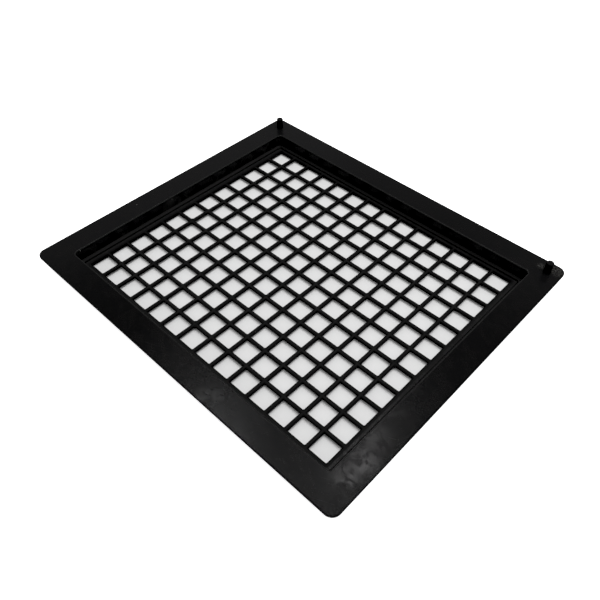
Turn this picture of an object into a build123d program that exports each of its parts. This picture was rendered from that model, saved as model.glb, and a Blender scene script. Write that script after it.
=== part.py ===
from build123d import *
import os

# A moulded lattice excluder in four pieces. A flat flange runs round a shallow well. A loose
# lattice panel lies in a seat at the well's foot, with a narrow shelf round it. Two headed
# pegs, pushed up through the flange at the back corners, locate the piece that goes on top.
#
# Frame: +X along the long side, +Y towards the pegs, +Z up. The origin is the middle of the
# underside, so Z = 0 is the underside of the lip that carries the panel.

# Lattice, which drives every other size in plan
PITCH = 25.7  # from one bar's centre line to the next
COLUMNS = 14  # cells along X
ROWS = 12  # cells along Y
BAR_WIDTH = 4.0
CELL_CORNER_RADIUS = 1.2
PANEL_THICKNESS = 2.7
SIDE_BORDER = 4.4  # past the outermost bars' centre lines, on the left and right
END_BORDER = 2.1  # the same at the front and back
PANEL_CORNER_RADIUS = 1.5
PAD_DIAMETER = 8.6  # round ejector pads, flush with the bars
PAD_CROSSINGS = ((1, 5), (6, 1), (13, 5))  # bars counted from the left and from the front

# Well, with a shelf round the seat that the panel lies in
SEAT_CLEARANCE = 1.2  # between the panel's edge and the shelf
SHELF_WIDTH = 4.2  # from the seat's edge to the foot of the wall
SHELF_TOP = 6.7
WELL_CORNER_RADIUS = 4.0
WALL_THICKNESS = 2.6
WALL_DRAFT = 4.0  # degrees that the wall leans outwards
LIP_THICKNESS = 2.6  # the panel rests on this
LIP_COVER = 0.4  # how far the lip reaches inwards past the outermost bars' centre lines
WINDOW_CORNER_RADIUS = 1.0

# Flange
FLANGE_REACH = 35.7  # from the panel's edge to the outer edge
FLANGE_TOP = 21.2
FLANGE_THICKNESS = 3.0
FLANGE_CORNER_RADIUS = 9.5
MOUTH_ROUNDING = 0.9
EDGE_ROUNDING = 0.6

# Pegs
PEG_DIAMETER = 8.2
PEG_HEIGHT = 13.0  # above the flange
PEG_INSET = 16.0  # from each outer edge to the peg's axis
PEG_TOP_ROUNDING = 0.7
SHOULDER_DIAMETER = 9.0  # the stretch that is pressed into the flange
HEAD_DIAMETER = 12.0  # let into the flange's underside, flush
HEAD_THICKNESS = 1.2

LATTICE_LENGTH = COLUMNS * PITCH
LATTICE_WIDTH = ROWS * PITCH
PANEL_LENGTH = LATTICE_LENGTH + 2 * SIDE_BORDER
PANEL_WIDTH = LATTICE_WIDTH + 2 * END_BORDER
SEAT_CORNER_RADIUS = PANEL_CORNER_RADIUS + SEAT_CLEARANCE
WELL_REACH = SEAT_CLEARANCE + SHELF_WIDTH
FLANGE_UNDERSIDE = FLANGE_TOP - FLANGE_THICKNESS
PEG_X = PANEL_LENGTH / 2 + FLANGE_REACH - PEG_INSET
PEG_Y = PANEL_WIDTH / 2 + FLANGE_REACH - PEG_INSET
UPWARDS = (Align.CENTER, Align.CENTER, Align.MIN)


def outline(reach, radius, height):
    """A rounded rectangle at a height, reaching past the panel's edge all round."""
    shape = RectangleRounded(PANEL_LENGTH + 2 * reach, PANEL_WIDTH + 2 * reach, radius)
    return Plane.XY.offset(height) * shape


def flange_plate():
    """The flat flange with rounded outer edges."""
    plate = extrude(outline(FLANGE_REACH, FLANGE_CORNER_RADIUS, FLANGE_UNDERSIDE), FLANGE_THICKNESS)
    rims = plate.edges().group_by(Axis.Z)
    return fillet(rims[0] + rims[-1], EDGE_ROUNDING)


def well_shell():
    """The outside of the well's leaning wall, from the underside up to the flange."""
    foot = outline(WELL_REACH + WALL_THICKNESS, WELL_CORNER_RADIUS + WALL_THICKNESS, 0)
    return extrude(foot, FLANGE_UNDERSIDE, taper=-WALL_DRAFT)


def well_cavity():
    """The inside of the well, from the top of the shelf to the flange's top face."""
    foot = outline(WELL_REACH, WELL_CORNER_RADIUS, SHELF_TOP)
    return extrude(foot, FLANGE_TOP - SHELF_TOP, taper=-WALL_DRAFT)


def panel_seat():
    """The recess that the panel lies in, from the top of the lip to the top of the shelf."""
    floor = outline(SEAT_CLEARANCE, SEAT_CORNER_RADIUS, LIP_THICKNESS)
    return extrude(floor, SHELF_TOP - LIP_THICKNESS)


def lip_window():
    """The opening that the lip leaves under the lattice."""
    length = LATTICE_LENGTH - 2 * LIP_COVER
    width = LATTICE_WIDTH - 2 * LIP_COVER
    return extrude(RectangleRounded(length, width, WINDOW_CORNER_RADIUS), LIP_THICKNESS)


def well_mouth(frame):
    """The edge loop where the well's wall meets the flange's top face."""
    top_face = frame.faces().sort_by(Axis.Z)[-1]
    return top_face.inner_wires()[0].edges()


def peg_form():
    """A peg, standing on its head: head and shoulder inside the flange, rounded post above it."""
    head = Cylinder(HEAD_DIAMETER / 2, HEAD_THICKNESS, align=UPWARDS)
    shoulder = Cylinder(SHOULDER_DIAMETER / 2, FLANGE_THICKNESS, align=UPWARDS)
    post = Pos(0, 0, FLANGE_THICKNESS) * Cylinder(PEG_DIAMETER / 2, PEG_HEIGHT, align=UPWARDS)
    post = fillet(post.edges().group_by(Axis.Z)[-1], PEG_TOP_ROUNDING)
    return head + shoulder + post


def peg_places():
    """The two back corners where a peg stands, at the height of the flange's underside."""
    return [Pos(side * PEG_X, PEG_Y, FLANGE_UNDERSIDE) for side in (-1, 1)]


def make_flange_frame():
    """Flange, leaning wall, shelf and lip, moulded as one, with a stepped hole for each peg."""
    frame = flange_plate() + well_shell()
    frame -= well_cavity()
    frame -= panel_seat()
    frame -= lip_window()
    frame = fillet(well_mouth(frame), MOUTH_ROUNDING)
    for place in peg_places():
        frame -= place * peg_form()
    return frame


def make_lattice_panel():
    """The loose panel: crossing bars, all of one thickness, edged by the outermost bars."""
    opening = PITCH - BAR_WIDTH
    cell = RectangleRounded(opening, opening, CELL_CORNER_RADIUS)
    face = outline(0, PANEL_CORNER_RADIUS, 0)
    face -= GridLocations(PITCH, PITCH, COLUMNS, ROWS) * cell
    for column, row in PAD_CROSSINGS:
        place = Pos(column * PITCH - LATTICE_LENGTH / 2, row * PITCH - LATTICE_WIDTH / 2)
        face += place * Circle(PAD_DIAMETER / 2)
    return Pos(0, 0, LIP_THICKNESS) * extrude(face, PANEL_THICKNESS)


def main():
    left, right = peg_places()
    nodes = {
        "flange_frame": make_flange_frame(),
        "lattice_panel": make_lattice_panel(),
        "peg_back_left": left * peg_form(),
        "peg_back_right": right * peg_form(),
    }
    os.makedirs("parts", exist_ok=True)
    for name, solid in nodes.items():
        export_step(solid, f"parts/{name}.step")


main()
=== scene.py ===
import math

import bpy
from mathutils import Matrix, Vector

# A black moulded lattice tray on white paper. The pieces are the CAD nodes, dressed in
# procedural plastics whose masks follow the part's own shape. Lengths are in metres.

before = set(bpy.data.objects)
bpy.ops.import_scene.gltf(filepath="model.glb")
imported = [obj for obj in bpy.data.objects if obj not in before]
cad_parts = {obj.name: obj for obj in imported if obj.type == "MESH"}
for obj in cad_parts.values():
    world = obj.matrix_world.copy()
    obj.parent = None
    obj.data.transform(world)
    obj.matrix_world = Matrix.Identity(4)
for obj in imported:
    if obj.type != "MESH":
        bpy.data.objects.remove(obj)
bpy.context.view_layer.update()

MM = 0.001

# Camera: the point it looks at, the direction it looks from, and its lens
AIM = Vector((29.61, -29.24, 5.3)) * MM
AZIMUTH = 43.306  # degrees from -Y towards +X
ELEVATION = 47.641
DISTANCE = 667.64 * MM
ROLL = 0.3525
LENS_MM = 37.398
SENSOR_MM = 36.0

# Key: overhead, and it lights only what is rough
KEY_PLACE = (0.4, 0.35, 2.2)
KEY_SIZE = (1.4, 1.4)
KEY_POWER = 32.0

# Ceiling lamps, which make the glare on the near corner, as middle, size and power
LAMP_HEIGHT = 1.6
LAMPS = {
    "lamp_left": ((-0.73, 0.31), (0.20, 0.10), 0.74),
    "lamp_corner": ((-0.36, 0.22), (0.50, 0.12), 0.37),
    "lamp_right": ((-0.215, 0.53), (0.08, 0.22), 0.44),
    "lamp_back": ((-0.34, 0.74), (0.10, 0.14), 0.28),
}

# Dome: its strength where it lights, and where gloss mirrors it below and above two heights
DOME_LIGHT = 0.55
DOME_MIRRORED_LOW = 0.22
DOME_MIRRORED_HIGH = 0.02
LOW_SKY = 0.60
HIGH_SKY = 0.71

# Display: the tone that is shown as black
BLACK_LEVEL = 0.005

# Paper
PAPER_HALF = 6.0
PAPER_DROP = 0.05 * MM
PAPER_WHITE = 0.92
PAPER_PAINTED_SHADE = 0.72  # painted shade below the lattice
PAPER_MIRRORED = 0.15
PAPER_GLOW = 0.80
PAPER_UNDER = 1.20  # its glow under the frame, where the camera doesn't see it
PAPER_ROUGHNESS = 0.9
PAPER_FADE = (-0.5 * MM, 0.5 * MM)
UNDER_FADE = (-4.0 * MM, -1.0 * MM)  # past the flange's outline
WINDOW_FADE = (0.0, 1.0 * MM)

# Black plastic: linear colours
WHITE = (1.0, 1.0, 1.0, 1.0)
FRAME_DARK = (0.0075, 0.0075, 0.0077, 1.0)
FRAME_LIGHT = (0.0081, 0.0079, 0.0080, 1.0)
LATTICE_DARK = (0.0086, 0.0086, 0.0088, 1.0)
LATTICE_LIGHT = (0.0118, 0.0116, 0.0116, 1.0)
# painted shade: near-black put on standing faces, rounded rims and patches where shade falls
PAINTED_SHADE = (0.0030, 0.0030, 0.0031, 1.0)
WALL = (0.0078, 0.0078, 0.0079, 1.0)
# painted reflection: lighter blotches on the well's walls
WALL_PAINTED_REFLECTION = (0.0150, 0.0149, 0.0147, 1.0)
# painted highlight: lighter tone along the mouth's edge, on the shelf, and partly on the handling marks
PAINTED_HIGHLIGHT = (0.0180, 0.0178, 0.0178, 1.0)
# painted sheen: the lattice panel's border made lighter where it catches light
PAINTED_BORDER_SHEEN = (0.0165, 0.0163, 0.0163, 1.0)
DUST = (0.35, 0.34, 0.32, 1.0)

# Each plastic's roughness, how far haze changes it, its mould grain, its specular level, and
# the shift that gives it a noise of its own
FRAME_FINISH = {"roughness": 0.25, "smear": 0.02, "grain": 0.05, "specular": 0.25, "seed": 0.0}
LATTICE_FINISH = {"roughness": 0.60, "smear": 0.06, "grain": 0.10, "specular": 0.22, "seed": 5.0}
PEG_FINISH = {"roughness": 0.36, "smear": 0.05, "grain": 0.06, "specular": 0.25, "seed": 9.0}

# Noise, as scale per metre, detail, roughness and distortion
PATCHES = (55.0, 5.0, 0.65, 1.2)
WIPES = (1.0, 3.0, 0.6, 0.6)
SCRATCHES = (1.0, 2.0, 0.5, 0.2)
GRAINS = (1500.0, 2.0, 0.6, 0.0)
WAVES = (45.0, 3.0, 0.5, 0.0)
WALL_REFLECTIONS = (70.0, 3.0, 0.5, 0.8)
BLOTS = (70.0, 3.0, 0.55, 1.2)
SCUFF_GRAINS = (520.0, 2.0, 0.6, 0.0)

# Stretched noise, as scale along each axis and the turn in degrees
EVEN = (1.0, 1.0, 1.0)
PATCH_TURN = 20.0
WIPE_STRETCH = (14.0, 90.0, 30.0)
WIPE_TURN = 31.0
WIPE_SHIFT = 3.0
SCRATCH_STRETCH = (16.0, 1500.0, 400.0)
SCRATCH_TURN = -24.0

# Where each noise starts and is full
HAZE_STEP = (0.46, 0.56)
SCRATCH_STEP = (0.70, 0.76)
WALL_REFLECTION_STEP = (0.44, 0.68)
BLOT_STEP = (0.42, 0.56)
SCUFF_STEP = (0.42, 0.62)

# Surface detail
PATCH_SHARE = 0.65  # of the haze; wipes make up the rest
SCRATCH_ROUGHNESS = 0.10
GRAIN_ROUGHNESS = 0.02
GRAIN_DEPTH = 0.3 * MM
WAVE_BUMP = (0.25, 0.5 * MM)  # strength and depth
SCRATCH_BUMP = (0.15, 0.1 * MM)
SPECK_CELLS = 110.0  # per metre
SPECK_SIZE = 0.45 * MM
SPECK_SHARE = 0.035  # of the cells
# how far the handling marks are lightened, partly as painted highlight
MARK_TINT = 0.5
MARK_POLISH = 0.10
BORDER_POLISH = 0.34
# strength of the painted shade on the flange's rim and on the bars' rims
RIM_SHADE = 0.90
SCUFF_SHARE = 0.10
STEEP = 0.70  # the upright part of a face's direction, below which it counts as standing
LEVEL = 0.97
SPOT_CORE = 0.35  # of a spot's radius

# The lattice's layout
PITCH = 25.7 * MM
COLUMNS = 14
ROWS = 12
LAST_BARS = (COLUMNS / 2 * PITCH, ROWS / 2 * PITCH)  # the outermost bars' middle lines
LAST_BARS_CORNER = 1.0 * MM
BAR_HALF = 2.0 * MM
BORDER_FADE = 1.2 * MM
BAR_ROUNDING = (0.5 * MM, 1.4 * MM)  # from a bar's middle line, where the painted shade on its rim starts and is full
BAR_SIDE = (2.0 * MM, 2.6 * MM)
BAR_BEVEL = 0.7 * MM
BEVEL_SEGMENTS = 3
BEVEL_ANGLE = 40  # degrees
WELD_DISTANCE = 0.001 * MM

# The frame's layout
FLANGE_CORNER = 9.5 * MM
FLANGE_RIM = (-1.7 * MM, -0.7 * MM)  # past its outline, where the painted shade on the rim starts and is full
MOUTH_REACH = 6.4 * MM  # from the panel's edge to the mouth of the well
MOUTH_CORNER = 5.0 * MM
MOUTH_HIGHLIGHT = (0.6 * MM, 1.4 * MM)  # either side of the mouth, where the highlight line is painted
MOUTH_HIGHLIGHT_DEPTH = (1.7 * MM, 1.0 * MM)  # below the flange
WALL_START = (-0.4 * MM, 0.2 * MM)  # past the mouth, where the walls with painted reflections end
SHELF_HEIGHT = 6.7 * MM
SHELF_FADE = (0.2 * MM, 1.0 * MM)
SHELF_END_FADE = (0.7 * MM, 1.7 * MM)  # past the panel's front and back edges
# the share of the shelf's painted light left at its front and back ends
SHELF_END_LIGHT = 0.55
SEAT_REACH = 1.7 * MM  # past the panel's edge, as far as shade is painted on the paper
SEAT_CORNER = 4.0 * MM
LIP_COVER = 0.4 * MM  # how far the lip reaches inwards past the outermost bars' middles
WINDOW = (LAST_BARS[0] - LIP_COVER, LAST_BARS[1] - LIP_COVER)
WINDOW_CORNER = 1.0 * MM

# Handling marks on the flange where the glare falls, as x, y and radius; their lighter tint is partly
# painted highlight
SMUDGES = (
    (0.056, -0.186, 0.010),
    (0.066, -0.177, 0.008),
    (0.201, -0.158, 0.017),
    (0.203, -0.135, 0.020),
    (0.199, -0.110, 0.018),
    (0.194, -0.078, 0.014),
    (0.192, -0.045, 0.010),
)

# Scuffs beside the right peg, as x, y and radius
SCUFFS = (
    (0.2115, 0.1845, 0.012),
    (0.1950, 0.1790, 0.006),
)

# Wide patches of painted shade on the flange, as x, y, radius and strength
SHADE_PATCHES = (
    (-0.100, -0.172, 0.110, 0.45),
    (0.205, 0.040, 0.110, 0.22),
    (0.030, 0.178, 0.180, 0.35),
)


def top_corner(node):
    """A CAD node's greatest x, y and z. The part is centred, so x and y are half its sides."""
    return [max(values) for values in zip(*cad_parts[node].bound_box)]


def past_panel(reach):
    """Half the sides of a rectangle that reaches past the lattice panel's edge."""
    return (PANEL_HALF_LENGTH + reach, PANEL_HALF_WIDTH + reach)


*OUTLINE, FLANGE_TOP = top_corner("flange_frame")
PANEL_HALF_LENGTH, PANEL_HALF_WIDTH, _ = top_corner("lattice_panel")
MOUTH = past_panel(MOUTH_REACH)


def make_camera():
    azimuth = math.radians(AZIMUTH)
    elevation = math.radians(ELEVATION)
    flat = math.cos(elevation)
    back = Vector((math.sin(azimuth) * flat, -math.cos(azimuth) * flat, math.sin(elevation)))
    data = bpy.data.cameras.new("camera")
    data.lens = LENS_MM
    data.sensor_width = SENSOR_MM
    camera = bpy.data.objects.new("camera", data)
    turn = (-back).to_track_quat("-Z", "Y").to_matrix().to_4x4()
    roll = Matrix.Rotation(math.radians(ROLL), 4, "Z")
    camera.matrix_world = Matrix.Translation(AIM + back * DISTANCE) @ turn @ roll
    bpy.context.scene.collection.objects.link(camera)
    bpy.context.scene.camera = camera


def area_light(name, place, size, power, glossy):
    """A rectangular light that faces straight down, which gloss mirrors or not."""
    data = bpy.data.lights.new(name, "AREA")
    data.shape = "RECTANGLE"
    data.size = size[0]
    data.size_y = size[1]
    data.energy = power
    light = bpy.data.objects.new(name, data)
    light.location = place
    light.visible_glossy = glossy
    bpy.context.scene.collection.objects.link(light)


def make_dome():
    """A dome that lights evenly and is white to the camera; mirrored, it is dimmer, most of all
    high up."""
    world = bpy.data.worlds.new("studio")
    world.use_nodes = True
    tree = world.node_tree
    path = tree.nodes.new("ShaderNodeLightPath")
    directions = tree.nodes.new("ShaderNodeTexCoord").outputs["Generated"]
    height = tree.nodes.new("ShaderNodeSeparateXYZ")
    tree.links.new(directions, height.inputs[0])
    mirrored = tree.nodes.new("ShaderNodeMapRange")
    mirrored.inputs["From Min"].default_value = LOW_SKY
    mirrored.inputs["From Max"].default_value = HIGH_SKY
    mirrored.inputs["To Min"].default_value = DOME_MIRRORED_LOW
    mirrored.inputs["To Max"].default_value = DOME_MIRRORED_HIGH
    tree.links.new(height.outputs["Z"], mirrored.inputs["Value"])
    strength = tree.nodes.new("ShaderNodeMapRange")
    strength.inputs["To Min"].default_value = DOME_LIGHT
    tree.links.new(mirrored.outputs["Result"], strength.inputs["To Max"])
    tree.links.new(path.outputs["Is Glossy Ray"], strength.inputs["Value"])
    shown = tree.nodes.new("ShaderNodeMapRange")
    tree.links.new(path.outputs["Is Camera Ray"], shown.inputs["Value"])
    tree.links.new(strength.outputs["Result"], shown.inputs["To Min"])
    background = tree.nodes["Background"]
    background.inputs["Color"].default_value = WHITE
    tree.links.new(shown.outputs["Result"], background.inputs["Strength"])
    bpy.context.scene.world = world


def make_lights():
    area_light("key", KEY_PLACE, KEY_SIZE, KEY_POWER, False)
    for name, (middle, size, power) in LAMPS.items():
        area_light(name, (*middle, LAMP_HEIGHT), size, power, True)
    make_dome()


def set_tones():
    """Plain display tones, with the darkest tones pulled down to black."""
    view = bpy.context.scene.view_settings
    view.view_transform = "Standard"
    view.use_curve_mapping = True
    view.curve_mapping.black_level = (BLACK_LEVEL, BLACK_LEVEL, BLACK_LEVEL)
    view.curve_mapping.update()


class Look:
    """One material, whose shader nodes are added and linked by short calls."""

    def __init__(self, name):
        self.material = bpy.data.materials.new(name)
        self.material.use_nodes = True
        self.tree = self.material.node_tree
        self.shader = self.tree.nodes["Principled BSDF"]
        self.place = self.add("ShaderNodeTexCoord").outputs["Object"]
        self.x, self.y, self.height = self.add("ShaderNodeSeparateXYZ", Vector=self.place).outputs

    def put(self, socket, value):
        """Link a node's output to a socket, or set the socket to a plain value."""
        if isinstance(value, bpy.types.NodeSocket):
            self.tree.links.new(value, socket)
        else:
            socket.default_value = value

    def add(self, kind, settings=None, **inputs):
        """A node with its settings and inputs; an underscore in an input's name is a space."""
        made = self.tree.nodes.new(kind)
        for key, value in (settings or {}).items():
            setattr(made, key, value)
        for key, value in inputs.items():
            self.put(made.inputs[key.replace("_", " ")], value)
        return made

    def numbers(self, kind, first, second=0.0):
        made = self.add("ShaderNodeMath", {"operation": kind})
        self.put(made.inputs[0], first)
        self.put(made.inputs[1], second)
        return made.outputs[0]

    def vectors(self, kind, first, second=(0.0, 0.0, 0.0)):
        made = self.add("ShaderNodeVectorMath", {"operation": kind})
        self.put(made.inputs[0], first)
        self.put(made.inputs[1], second)
        return made.outputs["Value" if kind in ("LENGTH", "DISTANCE") else "Vector"]

    def times(self, first, second):
        return self.numbers("MULTIPLY", first, second)

    def larger(self, first, second):
        return self.numbers("MAXIMUM", first, second)

    def size_of(self, value):
        return self.numbers("ABSOLUTE", value)

    def between(self, value, start, full, low=0.0, high=1.0, smooth=True):
        """A value from start..full taken to low..high, clamped."""
        settings = {"interpolation_type": "SMOOTHSTEP" if smooth else "LINEAR"}
        made = self.add("ShaderNodeMapRange", settings, Value=value, From_Min=start, From_Max=full,
                        To_Min=low, To_Max=high)
        return made.outputs["Result"]

    def outside(self, value, start, full):
        """1 below start, falling to 0 at full."""
        return self.between(value, start, full, 1.0, 0.0)

    def blend(self, factor, first, second):
        """A colour that goes from the first to the second."""
        made = self.add("ShaderNodeMix", {"data_type": "RGBA"})
        self.put(made.inputs[0], factor)
        self.put(made.inputs[6], first)
        self.put(made.inputs[7], second)
        return made.outputs[2]

    def stretched(self, scale, turn=0.0, shift=0.0):
        """Object coordinates turned about Z, then scaled along each axis."""
        angles = (0.0, 0.0, math.radians(turn))
        turned = self.add("ShaderNodeMapping", Vector=self.place, Rotation=angles).outputs[0]
        moved = (shift, shift, shift)
        return self.add("ShaderNodeMapping", Vector=turned, Scale=scale, Location=moved).outputs[0]

    def noise(self, kind, place=None):
        scale, detail, roughness, distortion = kind
        made = self.add("ShaderNodeTexNoise", Vector=place or self.place, Scale=scale,
                        Detail=detail, Roughness=roughness, Distortion=distortion)
        return made.outputs["Fac"]

    def bump(self, height, strength, depth, under=None):
        made = self.add("ShaderNodeBump", Height=height, Strength=strength, Distance=depth)
        if under is not None:
            self.put(made.inputs["Normal"], under)
        return made.outputs["Normal"]

    def past_rectangle(self, halves, radius):
        """How far a point lies past a rounded rectangle round the Z axis; under 0 inside it."""
        inner = (halves[0] - radius, halves[1] - radius, 1.0)
        over = self.vectors("SUBTRACT", self.vectors("ABSOLUTE", self.place), inner)
        distance = self.vectors("LENGTH", self.vectors("MAXIMUM", over))
        return self.numbers("SUBTRACT", distance, radius)

    def level_faces(self):
        """1 on faces that lie level, 0 on faces that stand."""
        normal = self.add("ShaderNodeNewGeometry").outputs["Normal"]
        upright = self.add("ShaderNodeSeparateXYZ", Vector=normal).outputs["Z"]
        return self.between(self.size_of(upright), STEEP, LEVEL)

    def spot(self, x, y, radius):
        """A soft round spot on the flange's top."""
        distance = self.vectors("DISTANCE", self.place, (x, y, FLANGE_TOP))
        return self.outside(distance, SPOT_CORE * radius, radius)

    def haze(self, seed):
        """Slow patches and wiped streaks."""
        patches = self.noise(PATCHES, self.stretched(EVEN, PATCH_TURN, seed))
        wiped = self.noise(WIPES, self.stretched(WIPE_STRETCH, WIPE_TURN, seed + WIPE_SHIFT))
        mixed = self.numbers("ADD", self.times(patches, PATCH_SHARE), self.times(wiped, 1 - PATCH_SHARE))
        return self.between(mixed, *HAZE_STEP)

    def specks(self):
        """Sparse round specks of dust."""
        cells = self.add("ShaderNodeTexVoronoi", Vector=self.place, Scale=SPECK_CELLS)
        radius = SPECK_SIZE * SPECK_CELLS
        near = self.outside(cells.outputs["Distance"], radius / 2, radius)
        pick = self.add("ShaderNodeSeparateColor", Color=cells.outputs["Color"]).outputs[0]
        return self.times(near, self.numbers("LESS_THAN", pick, SPECK_SHARE))

    def base_roughness(self, haze, finish):
        middle = finish["roughness"]
        smear = finish["smear"]
        return self.between(haze, 0.0, 1.0, middle - smear, middle + smear, smooth=False)


def finished(look, colour, specks, roughness, finish):
    """The plastic with its specks, hairline scratches, fine mould grain and slow waves."""
    shader = look.shader.inputs
    grains = look.noise(GRAINS)
    lines = look.noise(SCRATCHES, look.stretched(SCRATCH_STRETCH, SCRATCH_TURN, finish["seed"]))
    scratches = look.between(lines, *SCRATCH_STEP)
    roughness = look.numbers("ADD", roughness, look.times(scratches, SCRATCH_ROUGHNESS))
    grainy = look.between(grains, 0.0, 1.0, -GRAIN_ROUGHNESS, GRAIN_ROUGHNESS, smooth=False)
    waves = look.bump(look.noise(WAVES, look.stretched(EVEN, 0.0, finish["seed"])), *WAVE_BUMP)
    fine = look.bump(grains, finish["grain"], GRAIN_DEPTH, waves)
    look.put(shader["Base Color"], look.blend(specks, colour, DUST))
    look.put(shader["Roughness"], look.numbers("ADD", roughness, grainy))
    look.put(shader["Specular IOR Level"], finish["specular"])
    look.put(shader["Normal"], look.bump(scratches, *SCRATCH_BUMP, fine))
    return look.material


def well_walls(look):
    """Colour of the frame's standing faces: painted reflections on the well's walls, painted shade on
    the outside.
    """
    walls = look.blend(look.between(look.noise(WALL_REFLECTIONS), *WALL_REFLECTION_STEP), WALL, WALL_PAINTED_REFLECTION)
    inside = look.outside(look.past_rectangle(MOUTH, MOUTH_CORNER), *WALL_START)
    # painted shade on the frame's outer standing faces
    return look.blend(inside, PAINTED_SHADE, walls)


def painted_light_frame(look):
    """Where light is painted on the frame: a highlight line along the mouth of the well, and a lighter
    shelf.
    """
    mouth = look.outside(look.size_of(look.past_rectangle(MOUTH, MOUTH_CORNER)), *MOUTH_HIGHLIGHT)
    upper = look.between(look.height, *[FLANGE_TOP - depth for depth in MOUTH_HIGHLIGHT_DEPTH])
    shelf = look.outside(look.height, *[SHELF_HEIGHT + fade for fade in SHELF_FADE])
    ends = [PANEL_HALF_WIDTH + fade for fade in SHELF_END_FADE]
    shelf_lit_share = look.between(look.size_of(look.y), *ends, 1.0, SHELF_END_LIGHT)
    return look.larger(look.times(mouth, upper), look.times(shelf, shelf_lit_share))


def flange_painted_shade(look):
    """Painted shade on the flange: along its rounded outer rim, and in wide soft patches."""
    dark = look.between(look.past_rectangle(OUTLINE, FLANGE_CORNER), *FLANGE_RIM, 0.0, RIM_SHADE)
    for x, y, radius, strength in SHADE_PATCHES:
        dark = look.larger(dark, look.times(look.spot(x, y, radius), strength))
    return dark


def spots(look, places):
    """Soft round spots at a few places, joined."""
    joined = 0.0
    for x, y, radius in places:
        joined = look.larger(joined, look.spot(x, y, radius))
    return joined


def smudges(look):
    """Broken handling marks on the flange, whose lighter tint is partly painted highlight of the glare.
    """
    return look.times(spots(look, SMUDGES), look.between(look.noise(BLOTS), *BLOT_STEP))


def scuffs(look):
    """Grainy scuffs on the flange beside the right peg."""
    grainy = look.between(look.noise(SCUFF_GRAINS), *SCUFF_STEP, 0.0, SCUFF_SHARE)
    return look.times(spots(look, SCUFFS), grainy)


def panel_border(look):
    """The lattice panel's plain border, past its outermost bars."""
    past = look.past_rectangle(LAST_BARS, LAST_BARS_CORNER)
    return look.between(past, BAR_HALF - BORDER_FADE, BAR_HALF)


def bar_rim_shade(look, border):
    """Painted shade along the long edges of the lattice's bars, where their tops round off."""
    across = [look.numbers("PINGPONG", axis, PITCH / 2) for axis in (look.x, look.y)]
    off_middle = look.numbers("MINIMUM", *across)
    rims = look.times(look.between(off_middle, *BAR_ROUNDING), look.outside(off_middle, *BAR_SIDE))
    return look.times(rims, look.between(border, 0.0, 1.0, RIM_SHADE, 0.0))


def frame_plastic():
    """Smooth satin black with handling marks, scuffs, painted shade on standing faces and the rim, a
    painted highlight along the mouth and on the shelf, and painted reflections on the well's walls.
    """
    look = Look("frame_plastic")
    haze = look.haze(FRAME_FINISH["seed"])
    marks = smudges(look)
    colour = look.blend(haze, FRAME_DARK, FRAME_LIGHT)
    # standing faces: painted reflections inside the well, painted shade outside
    colour = look.blend(look.level_faces(), well_walls(look), colour)
    # painted shade on the flange's rim and in wide patches
    colour = look.blend(flange_painted_shade(look), colour, PAINTED_SHADE)
    # painted highlight along the mouth and on the shelf
    colour = look.blend(painted_light_frame(look), colour, PAINTED_HIGHLIGHT)
    # handling marks lightened: partly real marks, partly painted highlight of the glare
    colour = look.blend(look.times(marks, MARK_TINT), colour, PAINTED_HIGHLIGHT)
    polished = look.times(marks, MARK_POLISH)
    roughness = look.numbers("SUBTRACT", look.base_roughness(haze, FRAME_FINISH), polished)
    specks = look.larger(look.specks(), scuffs(look))
    return finished(look, colour, specks, roughness, FRAME_FINISH)


def lattice_plastic():
    """Duller black with painted shade on its standing faces and bar rims, and a smoother border with a
    painted sheen.
    """
    look = Look("lattice_plastic")
    haze = look.haze(LATTICE_FINISH["seed"])
    border = panel_border(look)
    colour = look.blend(haze, LATTICE_DARK, LATTICE_LIGHT)
    # painted shade on standing faces
    colour = look.blend(look.level_faces(), PAINTED_SHADE, colour)
    # painted shade along the bars' rims
    colour = look.blend(bar_rim_shade(look, border), colour, PAINTED_SHADE)
    # painted sheen: a lighter border
    colour = look.blend(border, colour, PAINTED_BORDER_SHEEN)
    polished = look.times(border, BORDER_POLISH)
    roughness = look.numbers("SUBTRACT", look.base_roughness(haze, LATTICE_FINISH), polished)
    return finished(look, colour, look.specks(), roughness, LATTICE_FINISH)


def peg_plastic():
    """Plain satin black with painted shade on its standing faces."""
    look = Look("peg_plastic")
    haze = look.haze(PEG_FINISH["seed"])
    # painted shade on the peg's standing faces
    colour = look.blend(look.level_faces(), PAINTED_SHADE, look.blend(haze, FRAME_DARK, FRAME_LIGHT))
    return finished(look, colour, look.specks(), look.base_roughness(haze, PEG_FINISH), PEG_FINISH)


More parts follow.
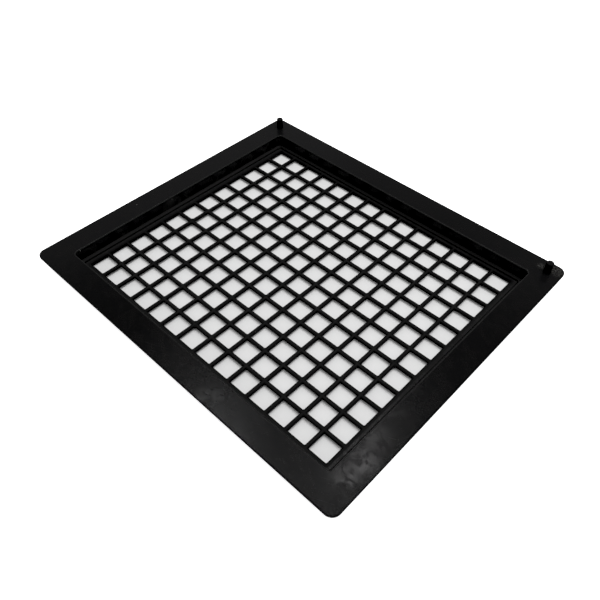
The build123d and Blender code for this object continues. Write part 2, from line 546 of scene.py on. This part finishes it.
def paper_white():
    """White paper: painted shade below the lattice, dim where gloss mirrors it, bright to the camera
    round the part, so that hardly a shadow is left there, lighting the frame's underside, and
    clear from below."""
    look = Look("floor_white")
    shader = look.shader.inputs
    path = look.add("ShaderNodeLightPath").outputs
    below = look.outside(look.past_rectangle(past_panel(SEAT_REACH), SEAT_CORNER), *PAPER_FADE)
    # painted shade: the paper is greyer below the lattice
    white = look.between(below, 0.0, 1.0, PAPER_WHITE, PAPER_PAINTED_SHADE)
    tone = look.between(path["Is Glossy Ray"], 0.0, 1.0, white, PAPER_MIRRORED, smooth=False)
    shown = look.between(below, 0.0, 1.0, PAPER_GLOW, 0.0)
    framed = look.outside(look.past_rectangle(OUTLINE, FLANGE_CORNER), *UNDER_FADE)
    covered = look.between(look.past_rectangle(WINDOW, WINDOW_CORNER), *WINDOW_FADE)
    under = look.times(look.times(framed, covered), PAPER_UNDER)
    glow = look.between(path["Is Camera Ray"], 0.0, 1.0, under, shown, smooth=False)
    look.put(shader["Base Color"], tone)
    look.put(shader["Roughness"], PAPER_ROUGHNESS)
    look.put(shader["Specular IOR Level"], 0.0)
    look.put(shader["Emission Color"], WHITE)
    look.put(shader["Emission Strength"], glow)
    paper = look.add("ShaderNodeMixShader")
    look.put(paper.inputs[0], look.add("ShaderNodeNewGeometry").outputs["Backfacing"])
    look.put(paper.inputs[1], look.shader.outputs[0])
    look.put(paper.inputs[2], look.add("ShaderNodeBsdfTransparent").outputs[0])
    look.put(look.tree.nodes["Material Output"].inputs["Surface"], paper.outputs[0])
    return look.material


def make_floor():
    corners = [(x * PAPER_HALF, y * PAPER_HALF, 0.0) for x, y in ((-1, -1), (1, -1), (1, 1), (-1, 1))]
    mesh = bpy.data.meshes.new("floor")
    mesh.from_pydata(corners, [], [(0, 1, 2, 3)])
    mesh.materials.append(paper_white())
    floor = bpy.data.objects.new("floor", mesh)
    floor.location.z = -PAPER_DROP
    bpy.context.scene.collection.objects.link(floor)


def dress(node, material):
    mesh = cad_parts[node].data
    mesh.materials.clear()
    mesh.materials.append(material)


def round_edges(node):
    """Small rounded edges on a CAD node, by modifiers that leave its mesh as it is."""
    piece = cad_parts[node]
    weld = piece.modifiers.new("weld", "WELD")
    weld.merge_threshold = WELD_DISTANCE
    bevel = piece.modifiers.new("round", "BEVEL")
    bevel.width = BAR_BEVEL
    bevel.segments = BEVEL_SEGMENTS
    bevel.limit_method = "ANGLE"
    bevel.angle_limit = math.radians(BEVEL_ANGLE)
    bevel.harden_normals = True


make_camera()
make_lights()
set_tones()
make_floor()
dress("flange_frame", frame_plastic())
dress("lattice_panel", lattice_plastic())
pegs = peg_plastic()
dress("peg_back_left", pegs)
dress("peg_back_right", pegs)
round_edges("lattice_panel")
